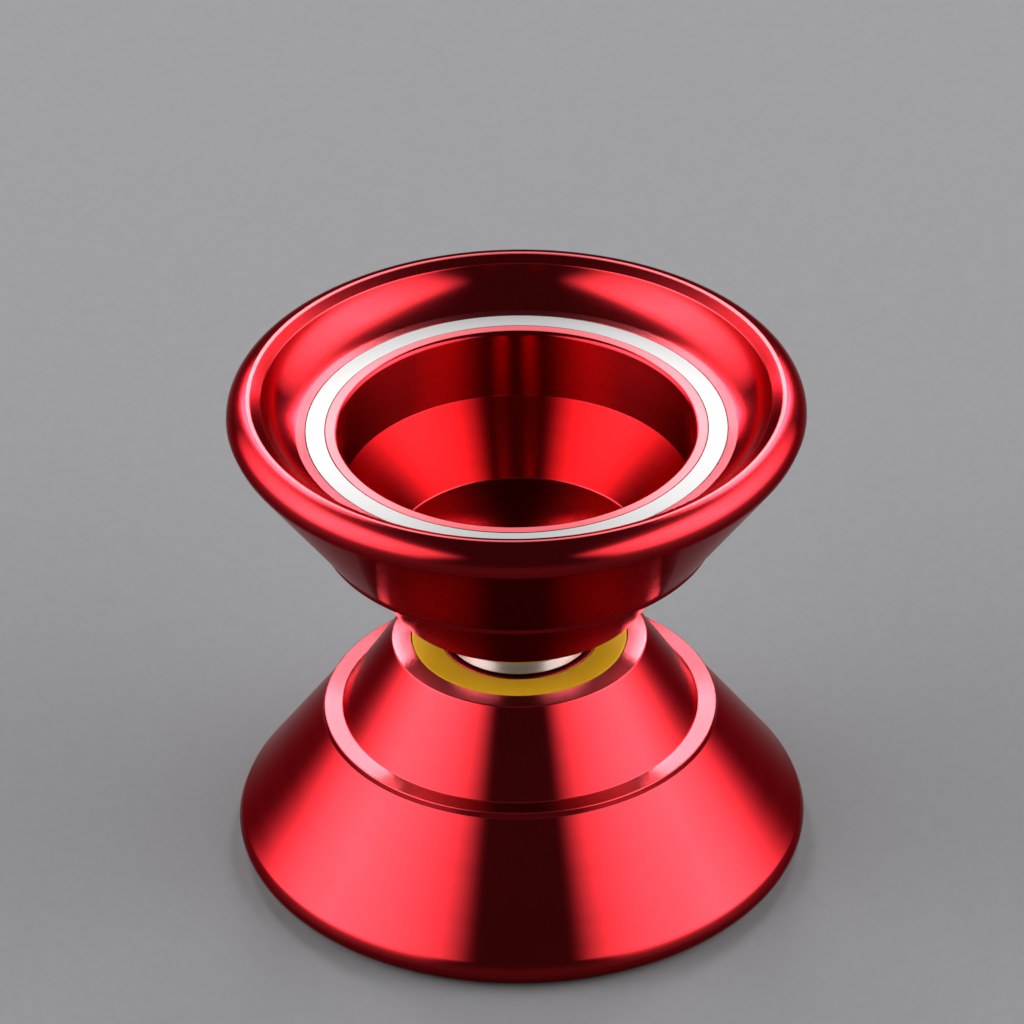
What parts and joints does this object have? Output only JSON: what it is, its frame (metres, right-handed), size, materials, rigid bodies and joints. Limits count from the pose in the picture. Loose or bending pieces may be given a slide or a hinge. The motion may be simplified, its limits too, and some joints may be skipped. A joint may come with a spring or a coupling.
{
  "type": "yo-yo",
  "caption": "Butterfly-shaped metal yo-yo: two turned halves screwed together round a shielded ball bearing, with a response pad beside it and a metal ring in each cup face.",
  "frame": {"origin": "middle of the string gap, on the spin axis, which is also the centre of the bounding box", "axes": "+Z along the spin axis towards the upper half; +X and +Y across it"},
  "size_m": [0.0506, 0.0506, 0.046],
  "materials": {
    "anodised_body": "polished, then anodised bright red",
    "bare_ring": "bare turned metal",
    "silicone_pad": "matt silicone",
    "bearing_steel": "ground and polished",
    "shield_steel": "pressed sheet",
    "dark_steel": "black oxide",
    "cage_plastic": "moulded nylon"
  },
  "bodies": {
    "lower_half": {"lower_half": "anodised_body", "lower_weight_ring": "bare_ring", "lower_response_pad": "silicone_pad", "axle": "dark_steel"},
    "bearing_seat": {"bearing_inner_race": "bearing_steel"},
    "upper_half": {"upper_half": "anodised_body", "upper_weight_ring": "bare_ring", "upper_response_pad": "silicone_pad"},
    "outer_race": {"bearing_outer_race": "bearing_steel", "lower_bearing_shield": "shield_steel", "upper_bearing_shield": "shield_steel", "lower_shield_snap_ring": "dark_steel", "upper_shield_snap_ring": "dark_steel"},
    "ball_cage": {"ball_cage": "cage_plastic"},
    "ball_1": {"bearing_ball_1": "bearing_steel"},
    "ball_2": {"bearing_ball_2": "bearing_steel"},
    "ball_3": {"bearing_ball_3": "bearing_steel"},
    "ball_4": {"bearing_ball_4": "bearing_steel"},
    "ball_5": {"bearing_ball_5": "bearing_steel"},
    "ball_6": {"bearing_ball_6": "bearing_steel"},
    "ball_7": {"bearing_ball_7": "bearing_steel"},
    "ball_8": {"bearing_ball_8": "bearing_steel"}
  },
  "joints": [
    {"name": "upper_half_rise", "type": "slide", "parent": "lower_half", "child": "bearing_seat", "axis": [0, 0, 1], "range_m": [0, 0.00385]},
    {"name": "upper_half_turn", "type": "hinge", "parent": "bearing_seat", "child": "upper_half", "pos_m": [0, 0, 0], "axis": [0, 0, 1], "range_deg": [0, 1980]},
    {"name": "outer_race_spin", "type": "hinge", "parent": "bearing_seat", "child": "outer_race", "pos_m": [0, 0, 0], "axis": [0, 0, 1], "continuous": true},
    {"name": "cage_orbit", "type": "hinge", "parent": "bearing_seat", "child": "ball_cage", "pos_m": [0, 0, 0], "axis": [0, 0, 1], "continuous": true},
    {"name": "ball_1_roll", "type": "hinge", "parent": "ball_cage", "child": "ball_1", "pos_m": [0.00476, 0, 0], "axis": [0, 0, 1], "continuous": true},
    {"name": "ball_2_roll", "type": "hinge", "parent": "ball_cage", "child": "ball_2", "pos_m": [0.00337, 0.00337, 0], "axis": [0, 0, 1], "continuous": true},
    {"name": "ball_3_roll", "type": "hinge", "parent": "ball_cage", "child": "ball_3", "pos_m": [0, 0.00476, 0], "axis": [0, 0, 1], "continuous": true},
    {"name": "ball_4_roll", "type": "hinge", "parent": "ball_cage", "child": "ball_4", "pos_m": [-0.00337, 0.00337, 0], "axis": [0, 0, 1], "continuous": true},
    {"name": "ball_5_roll", "type": "hinge", "parent": "ball_cage", "child": "ball_5", "pos_m": [-0.00476, 0, 0], "axis": [0, 0, 1], "continuous": true},
    {"name": "ball_6_roll", "type": "hinge", "parent": "ball_cage", "child": "ball_6", "pos_m": [-0.00337, -0.00337, 0], "axis": [0, 0, 1], "continuous": true},
    {"name": "ball_7_roll", "type": "hinge", "parent": "ball_cage", "child": "ball_7", "pos_m": [0, -0.00476, 0], "axis": [0, 0, 1], "continuous": true},
    {"name": "ball_8_roll", "type": "hinge", "parent": "ball_cage", "child": "ball_8", "pos_m": [0.00337, -0.00337, 0], "axis": [0, 0, 1], "continuous": true}
  ],
  "couplings": [
    {"joint": "upper_half_rise", "follows": "upper_half_turn", "m_per_rad": 0.00011141},
    {"joint": "cage_orbit", "follows": "outer_race_spin", "ratio": 0.60415},
    {"joint": "ball_1_roll", "follows": "outer_race_spin", "ratio": 2.2964},
    {"joint": "ball_2_roll", "follows": "outer_race_spin", "ratio": 2.2964},
    {"joint": "ball_3_roll", "follows": "outer_race_spin", "ratio": 2.2964},
    {"joint": "ball_4_roll", "follows": "outer_race_spin", "ratio": 2.2964},
    {"joint": "ball_5_roll", "follows": "outer_race_spin", "ratio": 2.2964},
    {"joint": "ball_6_roll", "follows": "outer_race_spin", "ratio": 2.2964},
    {"joint": "ball_7_roll", "follows": "outer_race_spin", "ratio": 2.2964},
    {"joint": "ball_8_roll", "follows": "outer_race_spin", "ratio": 2.2964}
  ]
}
